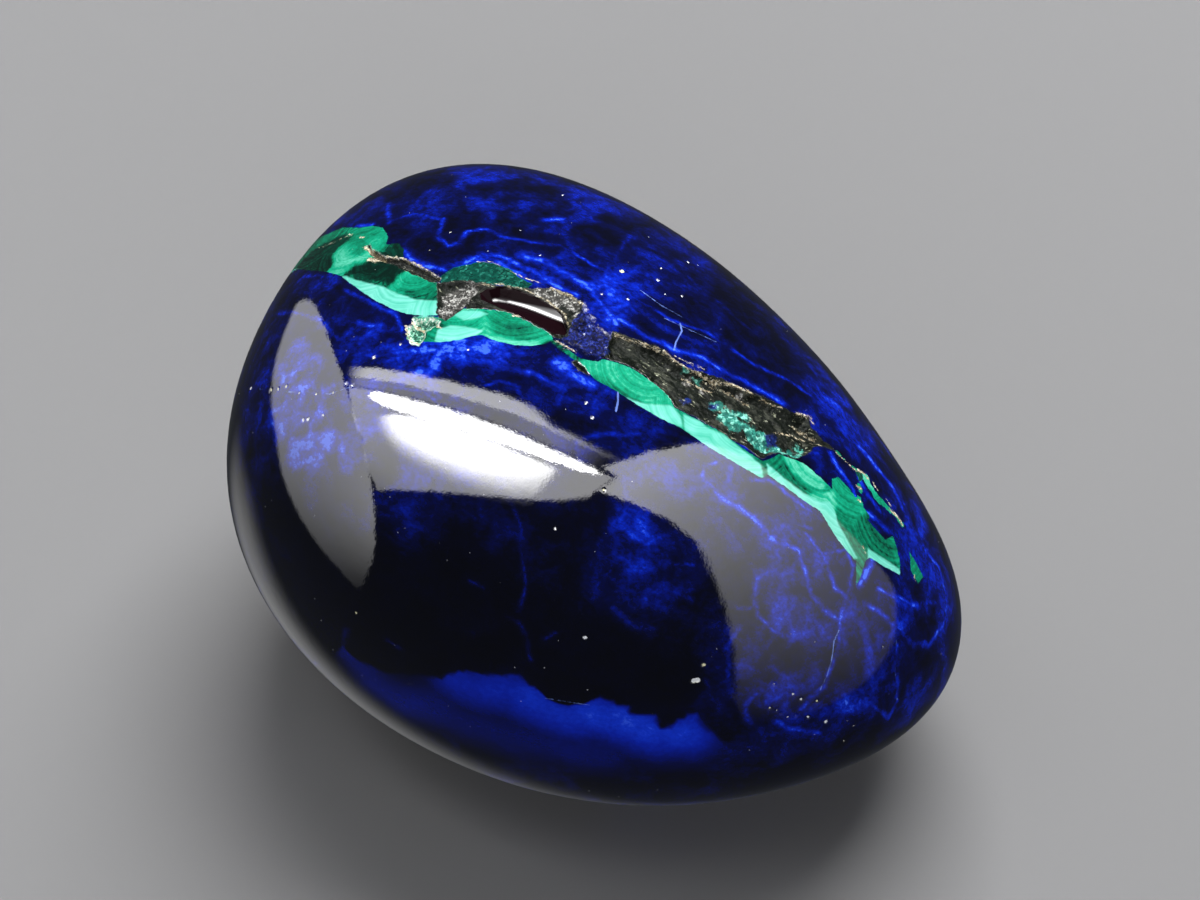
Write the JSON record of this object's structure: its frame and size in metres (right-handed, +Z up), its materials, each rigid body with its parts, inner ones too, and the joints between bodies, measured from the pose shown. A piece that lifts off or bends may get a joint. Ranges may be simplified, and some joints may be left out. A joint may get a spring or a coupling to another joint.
{
  "type": "azurite specimen",
  "caption": "Polished tumbled azurite stone with a banded malachite seam and open fissures along its top; rests on its flattened belly.",
  "frame": {"origin": "on the surface the stone rests on, under the middle of its bounding box", "axes": "+X along the stone's length towards its narrow end, +Z up from its flattened belly, +Y to its back"},
  "size_m": [0.0418, 0.03, 0.0253],
  "materials": {
    "azurite": "polished"
  },
  "bodies": {
    "root": {"azurite_stone": "azurite"}
  },
  "joints": []
}
